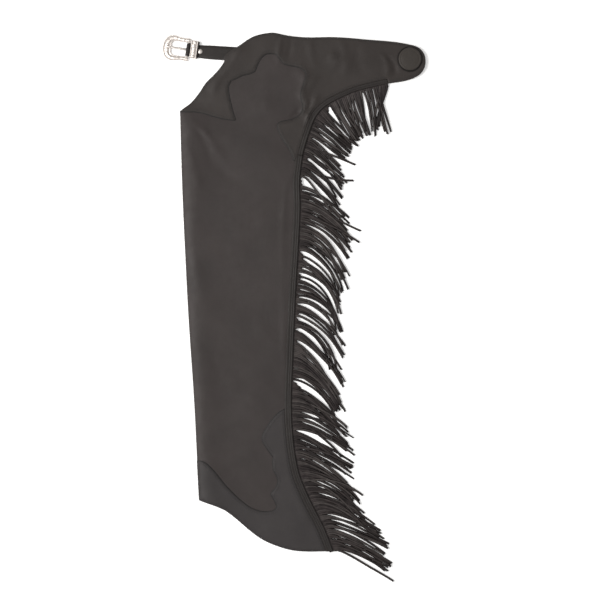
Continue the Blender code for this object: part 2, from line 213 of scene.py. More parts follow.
def fold_line():
    """The front fold, from the crotch down to the hem: the leg's outline where it is furthest left."""
    x, y = LEG_OUTLINE.T
    front = LEG_OUTLINE[(x < 45) & (y < CROTCH_Y + 2) & (y > HEM_FRONT_Y - 2)]
    return front[np.argsort(-front[:, 1])]


FOLD_LINE = fold_line()


def smoothstep(value, low, high):
    t = np.clip((value - low) / (high - low), 0, 1)
    return t * t * (3 - 2 * t)


def from_fold(x, y):
    """How far a point is from the front fold, and how much of the fold is beside it."""
    along = np.interp(-y, -FOLD_LINE[:, 1], FOLD_LINE[:, 0])
    return x - along, smoothstep(-y, -CROTCH_Y - 25, -CROTCH_Y + 45)


def waves(x, y, rows):
    """A slow unevenness: rows of (wavelength, direction in degrees, phase, height)."""
    total = np.zeros(np.shape(x))
    for wavelength, direction, phase, height in rows:
        turn = math.radians(direction)
        run = x * math.cos(turn) + y * math.sin(turn)
        bend = 0.35 * np.sin(TAU * (x * math.sin(turn) - y * math.cos(turn)) / (wavelength * 1.7) + phase)
        total += height * np.sin(TAU * run / wavelength + phase + bend * 2)
    return total


def creases(x, y, rows):
    """Soft ridges and troughs: rows of (x1, y1, x2, y2, bow, half width, height), uneven along their length."""
    total = np.zeros(np.shape(x))
    for x1, y1, x2, y2, bow, width, height in rows:
        dx, dy = x2 - x1, y2 - y1
        length = math.hypot(dx, dy)
        along = ((x - x1) * dx + (y - y1) * dy) / length**2
        across = ((x - x1) * dy - (y - y1) * dx) / length - bow * 4 * along * (1 - along)
        fade = smoothstep(along, -0.15, 0.25) * (1 - smoothstep(along, 0.7, 1.15))
        uneven = 1 + 0.25 * np.sin(9 * along + x1)
        total += height * fade * uneven * np.exp(-((across / (width * (0.8 + 0.4 * along))) ** 2))
    return total


PUFF_RUN = 20  # how far in from the fold it stands highest
LEG_WAVES = [
    (310, 78, 0.4, 0.9), (170, 12, 2.1, 0.45), (95, 55, 4.0, 0.22), (61, 120, 1.0, 0.12), (240, 95, 5.2, 0.5),
]
UNDER_WAVES = [(280, 84, 1.4, 0.5), (150, 20, 0.3, 0.3)]
LEG_CREASES = [  # x1, y1, x2, y2, bow, half width, height
    (22, -170, 78, -222, 5, 6, 0.55),
    (30, -186, 62, -262, -6, 7, -0.6),
    (46, -190, 96, -262, 4, 9, 0.8),
    (60, -250, 130, -300, 8, 12, -0.6),
    (14, -230, 40, -330, -4, 9, 0.7),
    (24, -420, 60, -560, 6, 12, 0.6),
    (34, -610, 84, -700, -8, 13, -0.5),
    (40, -760, 30, -880, 5, 10, 0.6),
    (150, -560, 206, -640, 8, 14, 0.5),
    (212, -300, 206, -480, 3, 6, 0.7),
    (204, -500, 206, -700, -3, 6, 0.6),
    (120, -700, 190, -760, -8, 14, -0.5),
    (60, -880, 110, -950, 4, 10, -0.5),
    (150, -985, 250, -1010, 6, 12, 0.7),
    (215, -880, 262, -985, 3, 8, 0.6),
    (100, -380, 190, -410, 10, 16, 0.4),
    (172, -100, 182, -168, 6, 12, 0.5),
]
BELT_CREASES = [
    (204, -8, 198, -62, 3, 6, 1.5),
    (222, -10, 214, -58, -2, 5, -1),
    (262, -12, 270, -70, 4, 8, 0.85),
    (322, -16, 330, -92, -5, 9, 1),
    (416, -50, 428, -88, -7, 5, -1.5),
    (404, -44, 414, -90, -6, 6, 1.4),
    (356, -24, 366, -86, 6, 10, -0.85),
    (96, -72, 62, -128, 4, 7, 1.4),
    (124, -34, 100, -76, 5, 7, 1),
    (272, -92, 244, -150, 6, 8, 1.2),
    (262, -150, 248, -222, 3, 6, 0.85),
    (244, -171, 254, -135, 1, 4, 2.2),
    (250, -182, 276, -128, -2, 5, 2.8),
    (246, -186, 264, -138, 0, 3.5, -1.6),
    (222, -172, 242, -152, 0, 4, -1.6),
    (252, -84, 243, -134, 2, 6, 1.6),
    (236, -60, 262, -100, 5, 14, 1.4),
    (300, -40, 318, -64, 0, 12, 1.6),
]


def fold_puff(x, y, height):
    """How far a fold that isn't pressed flat stands up beside itself, and how far in from it a point is."""
    run, beside = from_fold(x, y)
    run = np.maximum(run, 0)
    return height * beside * run / PUFF_RUN * np.exp(1 - run / PUFF_RUN), run


def under_top(x, y):
    """The height of the top of the right chap, on which the left one lies."""
    return UNDER_TOP + fold_puff(x, y, 1.6)[0] + 0.5 * waves(x, y, UNDER_WAVES)


def belt_share(x, y):
    """1 in the belt, which is one ply of each leg, and 0 in the leg, which is two."""
    return smoothstep(y, -0.35 * x - 185, -0.35 * x - 120)


def leg_top(x, y):
    """The height of the left leg's outer face away from its folded edge."""
    puff, run = fold_puff(x, y, 3.6)
    puff = puff + 0.9 * smoothstep(run, 30, 120) * (1 - smoothstep(run, 150, 235))
    base = LEG_TOP + under_top(x, y) - UNDER_TOP + 0.8
    over_strap = 1 - smoothstep(np.hypot(x - 96, (y + 45) * 1.4), 22, 60)
    drop = 1.9 * belt_share(x, y) * (1 - over_strap)
    lie = base + puff + waves(x, y, LEG_WAVES) * 0.8 - drop
    return lie + creases(x, y, LEG_CREASES) + creases(x, y, BELT_CREASES)


def leg_bottom(x, y):
    """The height of the left leg's lowest ply: its inner half, or in the belt the outer half itself."""
    inner = under_top(x, y) + 0.3
    return inner + (leg_top(x, y) - PLY - inner) * belt_share(x, y)


# ---------------------------------------------------------------- meshes

def in_frame(points):
    return np.asarray(points, float) * MM + ORIGIN


def linked(name, data):
    obj = bpy.data.objects.new(name, data)
    bpy.context.scene.collection.objects.link(obj)
    return obj


def mesh_object(name, points, faces):
    """A smooth mesh from points in the garment's datum, its faces turned to agree with their neighbours."""
    data = bpy.data.meshes.new(name)
    data.from_pydata(in_frame(points).tolist(), [], [list(map(int, face)) for face in faces])
    data.update()
    shell = bmesh.new()
    shell.from_mesh(data)
    bmesh.ops.recalc_face_normals(shell, faces=shell.faces)
    shell.to_mesh(data)
    shell.free()
    data.shade_smooth()
    return linked(name, data)


def finish_piece(obj, body, slot, material, *nodes):
    obj.data.materials.append(material)
    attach(obj, body)
    if nodes:
        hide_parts(*nodes)
    return obj


def toned(obj, materials, index):
    """Give a finished piece more materials, and each face the one with its index."""
    for material in materials:
        obj.data.materials.append(material)
    obj.data.polygons.foreach_set("material_index", np.array(index, np.int32))
    return obj


def filled(border, spacing, seed):
    """Points spread evenly inside a closed border, and the triangles that join them all."""
    rng = np.random.default_rng(seed)
    low, high = border.min(axis=0), border.max(axis=0)
    rows = []
    for i, y in enumerate(np.arange(low[1], high[1], spacing * 0.866)):
        x = np.arange(low[0] + (i % 2) * spacing / 2, high[0], spacing)
        rows.append(np.column_stack([x, np.full_like(x, y)]))
    grid = np.vstack(rows)
    grid += rng.uniform(-0.12, 0.12, grid.shape) * spacing
    grid = grid[inside(grid, border)]
    grid = grid[distance_to(grid, border, closed=True) > spacing * 0.55]
    count = len(border)
    vertices = [Vector(p) for p in border] + [Vector(p) for p in grid]
    edges = [(i, (i + 1) % count) for i in range(count)]
    made = delaunay_2d_cdt(vertices, edges, [], 1, 1e-6)
    return np.array([tuple(v) for v in made[0]]), made[2]


def sheet_mesh(name, loop, top, levels, spacing, seed):
    """A closed sheet: a flat-lying top, a wall of border loops, and a bottom under the same points.

    Each level is (inset, height), and height is a function of x and y.
    """
    first_inset, first_height = levels[0]
    border = moved_in(loop, first_inset)
    points, faces = filled(border, spacing, seed)
    count = len(border)
    assert len(points) >= count and np.abs(points[:count] - border).max() < 1e-4, name
    upper = np.column_stack([points, top(points[:, 0], points[:, 1])])
    upper[:count, 2] = first_height(border[:, 0], border[:, 1])
    rows, made = [np.arange(count)], [upper]
    total = len(upper)
    for inset, height in levels[1:]:
        ring = moved_in(loop, inset)
        made.append(np.column_stack([ring, height(ring[:, 0], ring[:, 1])]))
        rows.append(np.arange(total, total + count))
        total += count
    below = np.column_stack([points[count:], levels[-1][1](points[count:, 0], points[count:, 1])])
    made.append(below)
    under_index = np.concatenate([rows[-1], np.arange(total, total + len(below))])
    all_faces = [list(face) for face in faces]
    for low, high in zip(rows, rows[1:]):
        for i in range(count):
            j = (i + 1) % count
            all_faces.append([low[j], low[i], high[i], high[j]])
    all_faces += [[under_index[v] for v in reversed(face)] for face in faces]
    return mesh_object(name, np.vstack(made), all_faces)


def ply_levels(top, thick, radius=0.5):
    """The border levels of one cut ply of leather whose upper face is top()."""
    return [
        (radius, lambda x, y: top(x, y)),
        (radius * 0.3, lambda x, y: top(x, y) - radius * 0.3),
        (0.0, lambda x, y: top(x, y) - radius),
        (0.0, lambda x, y: top(x, y) - thick + radius * 0.5),
        (radius * 0.5, lambda x, y: top(x, y) - thick),
    ]


LEG_EDGE = [  # share of the leg's height, inset
    (1.0, 0.5), (0.93, 0.12), (0.84, 0), (0.66, 0), (0.57, 0.5), (0.43, 0.5), (0.34, 0), (0.16, 0), (0.07, 0.12),
    (0.0, 0.5),
]
LEG_SLOT = (0.54, 0.46)  # where the slot between the two plies starts and ends, as shares of the height


def folded_leg(name, loop, top, bottom, spacing, seed):
    """A leg folded flat: one sheet whose two plies lie apart, open at their cut edges and one bend at the fold."""
    at_fold = distance_to(loop, FOLD_LINE) < 1.0
    cut = smoothstep(distance_to(loop, FOLD_LINE), 2.0, 18.0)

    def ring(share, inset, fold_inset=None):
        """The border at this share of the height (1 top, 0 bottom), inset where it is cut and round at the fold."""
        thick = (top(loop[:, 0], loop[:, 1]) - bottom(loop[:, 0], loop[:, 1])) / 2
        bend = thick * (1 - math.sqrt(max(0, 1 - (2 * share - 1) ** 2))) * 1.3 if fold_inset is None else fold_inset
        line = moved_in(loop, cut * inset + (1 - cut) * np.maximum(bend, 0.3 if share in (0, 1) else 0))
        return np.column_stack([line, at_share(line, share)])

    def at_share(points, share):
        x, y = points[:, 0], points[:, 1]
        return bottom(x, y) + (top(x, y) - bottom(x, y)) * share

    first = ring(1.0, 0.5)
    points, faces = filled(first[:, :2], spacing, seed)
    count = len(loop)
    rest = points[count:]
    made = [ring(share, inset) for share, inset in LEG_EDGE]
    made += [ring(share, 0.7, 2.2) for share in LEG_SLOT]
    rows = [np.arange(count) + k * count for k in range(12)]
    slot_above, slot_below = rows[10], rows[11].copy()
    ends = [k for k in range(count) if at_fold[k] and not (at_fold[k - 1] and at_fold[(k + 1) % count])]
    slot_below[ends] = slot_above[ends]
    total = 12 * count
    quads = []
    for upper, lower in list(zip(rows[:4], rows[1:5])) + list(zip(rows[5:9], rows[6:10])):
        quads += [[upper[(k + 1) % count], upper[k], lower[k], lower[(k + 1) % count]] for k in range(count)]
    for k in range(count):
        n = (k + 1) % count
        if at_fold[k] and at_fold[n]:
            quads.append([rows[4][n], rows[4][k], rows[5][k], rows[5][n]])
            wall = [slot_above[k], slot_above[n], slot_below[n], slot_below[k]]
            quads.append([v for i, v in enumerate(wall) if v not in wall[:i]])
        else:
            quads.append([rows[4][n], rows[4][k], slot_above[k], slot_above[n]])
            quads.append([slot_below[n], slot_below[k], rows[5][k], rows[5][n]])
    for k in ends:
        corner = [rows[4][k], slot_above[k], rows[5][k]]
        quads.append(corner if at_fold[(k + 1) % count] else corner[::-1])
    plies = ((rows[0], 1.0, 1), (slot_above, LEG_SLOT[0], -1), (slot_below, LEG_SLOT[1], 1), (rows[9], 0.0, -1))
    for border, share, facing in plies:
        made.append(np.column_stack([rest, at_share(rest, share)]))
        index = np.concatenate([border, np.arange(total, total + len(rest))])
        total += len(rest)
        quads += [[index[v] for v in face[::facing]] for face in faces]
    return mesh_object(name, np.vstack(made), quads)


def grid_faces(rows, columns, closed=False):
    """Quads over a grid of points, its columns closed into tubes if asked."""
    faces = []
    for r in range(rows - 1):
        for c in range(columns if closed else columns - 1):
            d = (c + 1) % columns
            faces.append([r * columns + c, r * columns + d, (r + 1) * columns + d, (r + 1) * columns + c])
    return faces


def tube_rows(rings, closed_ends=True):
    """Quads that join equal rings of points one after another, and the caps."""
    count = len(rings[0])
    faces = grid_faces(len(rings), count, closed=True)
    if closed_ends:
        faces.append(list(range(count))[::-1])
        faces.append([(len(rings) - 1) * count + i for i in range(count)])
    return np.vstack(rings), faces


class Batch:
    """Many small closed shapes gathered into one mesh."""

    def __init__(self):
        self.points, self.faces, self.total = [], [], 0

    def add(self, points, faces):
        self.points.append(points)
        self.faces += [[v + self.total for v in face] for face in faces]
        self.total += len(points)

    def made(self, name):
        return mesh_object(name, np.vstack(self.points), self.faces)


STITCH_PITCH = 3.3
STITCH_LENGTH = 2.7
STITCH_RADIUS = 0.42
STITCH_SINK = 0.1


def stitches(batch, line, height):
    """Thread stitches laid end to end along a line, as small pointed lozenges just proud of the leather."""
    spots = by_length(line, STITCH_PITCH)
    middles, steps = (spots[1:] + spots[:-1]) / 2, np.diff(spots, axis=0)
    steps /= np.linalg.norm(steps, axis=1)[:, None]
    ends = [middles + steps * STITCH_LENGTH * share for share in (-0.5, -0.3, 0.3, 0.5)]
    heights = [height(e[:, 0], e[:, 1]) for e in ends]
    sides = np.stack([-steps[:, 1], steps[:, 0]], axis=1)
    for i in range(len(middles)):
        rings = []
        for k, size in enumerate((0.35, 1.0, 1.0, 0.35)):
            centre, z = ends[k][i], heights[k][i] - STITCH_SINK - (0.25 if k in (0, 3) else 0)
            rings.append([
                (*(centre + sides[i] * STITCH_RADIUS * size * math.cos(turn)),
                 z + STITCH_RADIUS * size * math.sin(turn))
                for turn in (0, TAU / 5, 2 * TAU / 5, 3 * TAU / 5, 4 * TAU / 5)
            ])
        batch.add(*tube_rows(rings))


# ---------------------------------------------------------------- panels, overlays and strips

def overlay_top(x, y):
    return leg_top(x, y) + OVERLAY_RISE - 0.15 + OVERLAY_THICK


def legs(leather):
    left = folded_leg("left_leg_leather", LEG_OUTLINE, leg_top, leg_bottom, 4.6, 11)
    finish_piece(left, "garment", "leg_leather", leather, "left_leg")
    right = folded_leg("right_leg_leather", LEG_OUTLINE, under_top, lambda x, y: np.zeros_like(x), 8.0, 12)
    finish_piece(right, "garment", "leg_leather", leather, "right_chap_folded_under")
    return left, right


def overlay(name, node, slot, material, seed):
    """A scalloped piece that lies on the leg, cut to its CAD node's outline."""
    loop = smooth_loop(moved_in(top_border(node), -SOFTENED_CUT), 3.0)
    made = sheet_mesh(name, loop, overlay_top, ply_levels(overlay_top, OVERLAY_THICK), 4.2, seed)
    return finish_piece(made, "garment", slot, material, node), loop


def long_sides(border):
    """The two long sides of a narrow piece's border."""
    return sorted(sides_of(border, corner=50), key=length_of)[-2:]


def long_outer_side(node):
    """The outer long side of an edge strip, from its top to its bottom end."""
    side = max(long_sides(moved_in(top_border(node), -SOFTENED_CUT)), key=lambda side: side[:, 0].mean())
    if side[0][1] < side[-1][1]:
        side = side[::-1]
    return by_length(smooth_side(side, 1.0), 2.5)


def strip(name, node, width, profile, leather):
    """A ridged strip along an edge: profile rows are (how far in from the edge, height above the leg)."""
    line = long_outer_side(node)
    normals, mitre = lefts(line, closed=False)
    rings = []
    for point, normal, stretch in zip(line, normals, mitre):
        spots = np.array([point - normal * inwards * width / stretch for inwards, _ in profile])
        spots[:, 1] = np.maximum(spots[:, 1], HEM_BACK_Y)
        base = leg_top(spots[:, 0], spots[:, 1])
        rings.append(np.column_stack([spots, base + [rise for _, rise in profile]]))
    return finish_piece(mesh_object(name, *tube_rows(rings)), "garment", "trim_leather", leather, node), line


LEG_STRIP_WIDTH = 13.0
YOKE_STRIP_WIDTH = 9.0
LEG_STRIP_PROFILE = [  # share of the width in from the edge, height above the leg
    (0.05, -0.9), (0.0, -0.5), (-0.02, 0.4), (0.0, 1.1), (0.04, 1.55), (0.10, 1.75), (0.17, 1.72), (0.24, 1.35),
    (0.30, 1.28), (0.36, 1.6), (0.43, 1.72), (0.50, 1.55), (0.56, 1.25), (0.62, 1.3), (0.70, 1.6), (0.80, 1.62),
    (0.92, 1.55), (0.98, 1.35), (1.0, 0.9), (0.99, 0.1), (0.9, 0.05), (0.5, 0.05),
]
YOKE_STRIP_PROFILE = [
    (0.06, -0.9), (0.0, -0.5), (-0.03, 0.4), (0.0, 1.1), (0.06, 1.6), (0.16, 1.85), (0.28, 1.85), (0.38, 1.5),
    (0.46, 1.3), (0.54, 1.35), (0.64, 1.6), (0.78, 1.65), (0.92, 1.5), (0.99, 1.3), (1.0, 0.8), (0.98, 0.1),
    (0.5, 0.05),
]


# ---------------------------------------------------------------- fringe

# Strands that lie together. Each row: from and to along the header in mm, the angle below the horizontal at
# the header and at the tips, the strands' length, the uncut header, how far the tips draw together, and
# the share of the strands that are there.
YOKE_CLUMPS = [
    (0, 9, 108, 104, 95, 6, 0.1, 1.0),
    (9, 19, 98, 98, 92, 6, 0.1, 1.0),
    (19, 31, 79, 75, 96, 6, 0.1, 1.0),
    (33, 46, 80, 88, 96, 8, 0.3, 0.9),
    (48, 66, 78, 84, 88, 7, 0.5, 0.9),
    (66, 80, 76, 68, 92, 8, 0.5, 0.9),
    (80, 98, 78, 58, 92, 8, 0.4, 0.9),
    (98, 112, 72, 56, 94, 10, 0.3, 1.0),
    (112, 126, 66, 55, 98, 14, 0.1, 1.0),
    (138, 158, 50, 47, 100, 16, 0.1, 1.0),
    (158, 180, 46, 42, 100, 20, 0.15, 1.0),
    (182, 204, 42, 40, 100, 20, 0.35, 1.0),
    (206, 226, 38, 44, 98, 14, 0.4, 1.0),
    (226, 248, 30, 52, 106, 12, 0.5, 1.0),
]
LEG_CLUMPS = [
    (6, 22, 18, 52, 112, 12, 0.4, 1.0),
    (22, 42, 28, 57, 112, 10, 0.4, 1.0),
    (60, 86, 2, 48, 116, 6, 0.35, 0.9),
    (86, 112, 8, 52, 126, 8, 0.35, 1.0),
    (112, 140, 4, 58, 130, 10, 0.3, 1.0),
    (140, 168, 8, 72, 132, 16, 0.3, 1.0),
    (168, 190, 10, 76, 140, 18, 0.3, 1.0),
    (198, 214, 12, 70, 124, 12, 0.5, 0.75),
    (214, 234, 2, 78, 130, 10, 0.5, 0.8),
    (236, 256, -2, 80, 132, 8, 0.45, 0.8),
    (258, 276, -5, 80, 132, 8, 0.5, 0.8),
    (278, 296, -8, 76, 130, 8, 0.5, 0.8),
    (298, 322, 15, 64, 132, 9, 0.4, 0.85),
    (326, 348, 0, 78, 134, 8, 0.5, 0.6),
    (350, 368, 28, 62, 140, 9, 0.5, 1.0),
    (368, 384, 32, 62, 140, 8, 0.4, 0.8),
    (384, 424, 18, 64, 142, 8, 0.35, 1.0),
    (426, 450, 5, 70, 128, 4, 0.5, 0.8),
    (464, 498, 8, 54, 124, 20, 0.3, 1.0),
    (498, 550, 5, 46, 134, 20, 0.3, 1.0),
    (553, 592, 18, 38, 130, 12, 0.3, 1.0),
    (592, 628, 10, 44, 128, 10, 0.3, 1.0),
    (628, 658, -6, 52, 138, 8, 0.3, 1.0),
    (658, 694, -6, 50, 140, 12, 0.25, 1.0),
    (694, 732, 2, 42, 142, 20, 0.25, 1.0),
    (732, 758, 8, 33, 140, 14, 0.3, 0.9),
    (758, 782, 10, 33, 134, 14, 0.4, 0.9),
    (784, 806, 10, 37, 134, 8, 0.25, 1.0),
]
STRAYS = {  # single strands that stray: along the header, first angle, last angle, length
    "yoke": [(150, 60, 30, 104), (222, 30, 20, 108)],
    "leg": [(16, 46, 2, 112), (96, 24, 27, 134), (114, 24, 30, 134), (206, 30, 62, 128), (340, 24, 58, 134),
            (438, 12, 60, 118), (640, 10, 24, 128), (806, 18, 36, 138)],
}
STRAND_PITCH = 3.8
STRAND_WIDTH = 5.1
STRAND_THICK = 1.5
STRAND_SECTION = [  # across and up, as shares of half the width and half the thickness
    (-1, -0.5), (-0.72, 0.55), (0, 1), (0.72, 0.55), (1, -0.5), (0.6, -1), (-0.6, -1),
]
CUT_AND_SHADED_SIDES = (0, 3, 4, 6)  # the sides of that section that take the near-black cut-edge leather: dyed cut edges, and painted shade between neighbouring strands
STRAND_STATIONS = 17
TUCK = 7.0


def header_reach(clumps, at):
    """How far the uncut header reaches past the edge, at places along it."""
    marks, reach = [], []
    for start, end, _, _, _, header, _, _ in clumps:
        marks += [start + 1, end - 1, end + 0.5]
        reach += [header, header, 3.0]
    order = np.argsort(marks)
    ragged = 0.8 * np.sin(at * 0.9) + 0.6 * np.sin(at * 2.3 + 1)
    return np.interp(at, np.array(marks, float)[order], np.array(reach, float)[order]) + ragged


def strand(rng, root, outwards, header, angles, length, z_root, z_rest, twist):
    """Rings of one strand: out of the header, then round to its last angle, lying on the floor and its neighbours."""
    share = np.linspace(0, 1, STRAND_STATIONS) ** 1.05
    run = share * (length + TUCK)
    first = math.atan2(-outwards[1], outwards[0])
    lie = np.radians(angles[0] + (angles[1] - angles[0]) * np.clip((run - TUCK) / length, 0, 1) ** 0.7)
    settle = smoothstep(run, TUCK * 0.5, TUCK + header + 10)
    heading = first + (lie - first) * settle
    wobble = rng.uniform(0.02, 0.07) * np.sin(TAU * share * rng.uniform(0.7, 1.6) + rng.uniform(0, TAU)) * settle
    heading = heading + wobble
    steps = np.diff(run)
    middle = (heading[1:] + heading[:-1]) / 2
    x = root[0] - outwards[0] * TUCK + np.concatenate([[0], np.cumsum(steps * np.cos(middle))])
    y = root[1] - outwards[1] * TUCK - np.concatenate([[0], np.cumsum(steps * np.sin(middle))])
    down = smoothstep(run, TUCK + 2, TUCK + 46)
    z = z_root + (z_rest - z_root) * down
    z = z + rng.uniform(0.2, 2.8) * np.sin(math.pi * np.clip((run - TUCK - header) / (length - header), 0, 1)) ** 2
    roll = rng.normal(0, 0.3) * smoothstep(run, TUCK + header, length)
    roll = (roll + rng.normal(0, 0.2) * smoothstep(run, length * 0.6, length * 1.1)) * twist
    width = STRAND_WIDTH * rng.uniform(0.86, 1.04) * (1 - 0.12 * share)
    slant = rng.uniform(-0.7, 0.7)
    rings = []
    for k in range(STRAND_STATIONS):
        side = np.array([math.sin(heading[k]), math.cos(heading[k])])
        ahead = np.array([math.cos(heading[k]), -math.sin(heading[k])])
        skew = slant if k == STRAND_STATIONS - 1 else 0
        ring = []
        for across, rise in STRAND_SECTION:
            across, rise = across * width[k] / 2, rise * STRAND_THICK / 2
            flat = across * math.cos(roll[k]) - rise * math.sin(roll[k])
            lift = across * math.sin(roll[k]) + rise * math.cos(roll[k])
            place = np.array([x[k], y[k]]) + side * flat + ahead * across * skew
            ring.append((place[0], place[1], max(z[k] + lift, 0.08)))
        rings.append(ring)
    return rings


def fringe(name, line, clumps, strays, z_root_of, z_rest, seed, materials, node):
    """One fringe: its uncut header along the edge, and its strands, whose cut edges take the last material, a near
    black that is both dyed edge and painted shade between the strands.
    """
    rng = np.random.default_rng(seed)
    line = by_length(line, 1.0)
    run = run_of(line)
    normals, _ = lefts(line, closed=False)
    reach = header_reach(clumps, run)
    rings = []
    for k in range(0, len(line), 2):
        spots = [line[k] + normals[k] * out for out in (-TUCK, 0, reach[k] * 0.6, reach[k])]
        root = z_root_of(*line[k])
        rise = [root, root, root - 0.12 * reach[k] * 0.4, root - 0.16 * reach[k]]
        upper = [(*spot, max(z + STRAND_THICK / 2, 1.2)) for spot, z in zip(spots, rise)]
        lower = [(*spot, max(z - STRAND_THICK / 2, 0.05)) for spot, z in zip(spots, rise)]
        rings.append(np.array(upper + lower[::-1]))
    batch = Batch()
    batch.add(*tube_rows([ring[::-1] for ring in rings]))
    tones = [0] * len(batch.faces)

    def one(at, angles, length, header, tone, twist=1.0):
        at = float(np.clip(at, 1.5, run[-1] - 1.5))
        root = read_at(line, run, at)
        outwards = read_at(normals, run, at)
        outwards /= np.linalg.norm(outwards)
        z_root = z_root_of(*root)
        rest = z_rest[0] + (z_rest[1] - z_rest[0]) * rng.random()
        batch.add(*tube_rows(strand(rng, root, outwards, header, angles, length, z_root, rest, twist)))
        # the last material is near black: the dyed cut edges, and painted shade on the strands' sides between them
        cut = len(materials) - 1
        sides = [cut if corner in CUT_AND_SHADED_SIDES else tone for corner in range(len(STRAND_SECTION))]
        tones.extend(sides * (STRAND_STATIONS - 1) + [cut] * 2)

    for start, end, first, last, length, header, pinch, present in clumps:
        count = max(1, round((end - start) / STRAND_PITCH))
        lean = rng.normal(0, 1.5)
        for k in range(count):
            off = (k + 0.5) / count - 0.5
            if rng.random() > present:
                continue
            draw = math.degrees(pinch * off * (end - start) / length)
            stray = rng.choice([0, 0, 0, 0, 0, 0, 0, 0, -11, 10])
            angles = (first + lean + stray + rng.normal(0, 2.6),
                      last + lean - draw * 1.6 + stray * 0.4 + rng.normal(0, 3.2))
            at = start + (k + 0.5) / count * (end - start)
            one(at, angles, length * rng.uniform(0.89, 1.04), header, rng.choice(len(materials) - 1))
    for at, first, last, length in strays:
        one(at, (first, last), length, 6, 0, 0.2)
    made = finish_piece(batch.made(name), "garment", "fringe_leather", materials[0], node)
    return toned(made, materials[1:], tones)


def height_at(height, x, y):
    return float(height(np.array([x]), np.array([y]))[0])


def fringes(lines, materials):
    """The four fringes. Each row of sides: whose, how many strays, its root's height, its resting heights."""
    made = []
    for which, line, clumps, seed in (("yoke", lines[0], YOKE_CLUMPS, 5), ("leg", lines[1], LEG_CLUMPS, 6)):
        for side, strays, root, rest in (
            ("left", None, lambda x, y: height_at(leg_top, x, y) - PLY - 0.9, (2.2, 5.4)),
            ("right", 1, lambda x, y: 1.0, (0.75, 1.6)),
        ):
            node = f"{side}_{which}_fringe"
            single = STRAYS[which][:strays]
            made.append(fringe(f"{node}_strands", line, clumps, single, root, rest, seed, materials, node))
    return made


# ---------------------------------------------------------------- buckle, keeper, strap and rosette

BAR_AT = (16, -34.5)
BAR_HEIGHT = 4.0
BAR_RADIUS = 2.0
STRAP_TURN = math.radians(-8.5)
FRAME_DROOP = math.radians(-1.9)
KEEPER_SPAN = (5.0, 18.5)
KEEPER_SIDE = 2.0
SCREW_ALONG = 24.5


def from_strap(points):
    """Points in the strap's own (along, side, height) as points in the garment's datum."""
    points = np.asarray(points, float)
    along, side = points[:, 0], points[:, 1]
    cos, sin = math.cos(STRAP_TURN), math.sin(STRAP_TURN)
    return np.column_stack([BAR_AT[0] + along * cos - side * sin, BAR_AT[1] + along * sin + side * cos, points[:, 2]])


def strap_bow(along):
    """How far the strap bends towards the belt's top edge, beyond its straight buckle end."""
    past = np.maximum(np.asarray(along) - 22, 0)
    return 0.085 * past**2 / (past + 8)


def from_bar(points):
    """Points about the buckle's bar, whose buckle droops a little, as points in the garment's datum."""
    points = np.asarray(points, float)
    cos, sin = math.cos(FRAME_DROOP), math.sin(FRAME_DROOP)
    along = points[:, 0] * cos + points[:, 2] * sin
    height = -points[:, 0] * sin + points[:, 2] * cos + BAR_HEIGHT
    return from_strap(np.column_stack([along, points[:, 1], height]))


def raised(points, lines, width, height):
    """How far engraved lines raise each point of a face."""
    near = np.full(len(points), 1e9)
    for line in lines:
        near = np.minimum(near, distance_to(points, line))
    return height * np.exp(-((near / width) ** 4))


def scroll(x, y, radius, start, turn, hand):
    """A curl that winds inwards from its start angle."""
    t = np.linspace(0, 1, 22)
    angle = math.radians(start) + hand * t * TAU * turn
    size = radius * (1 - 0.8 * t)
    return np.column_stack([x + size * np.cos(angle), y + size * np.sin(angle)])


FRAME_OUTER = [
    (2.6, 23.4), (-4, 22.8), (-13, 22.4), (-20, 23.2), (-27, 25.2), (-33, 25.4), (-39, 23.6), (-44.5, 19.6),
    (-48.5, 13.5), (-50.6, 7), (-51.2, 0),
]
FRAME_INNER = [
    (2.6, 14.0), (-8, 14.2), (-20, 14.3), (-28, 14.0), (-31.4, 12.6), (-33.2, 9.6), (-33.8, 5), (-34, 0),
]
FRAME_SECTION = [  # share of the way from the inner edge to the outer one, height
    (0.04, -1.9), (0.0, -1.2), (0.0, 0.6), (0.03, 1.5), (0.09, 2.1), (0.15, 1.75), (0.19, 1.2), (0.25, 1.35),
    (0.34, 1.75), (0.43, 1.98), (0.52, 2.05), (0.61, 1.98), (0.70, 1.75), (0.76, 1.35), (0.80, 1.2), (0.84, 1.75),
    (0.90, 2.25), (0.95, 2.1), (1.0, 1.3), (1.0, 0.2), (1.0, -1.2), (0.96, -1.9), (0.5, -2.0),
]
ROPE_PITCH = 2.3


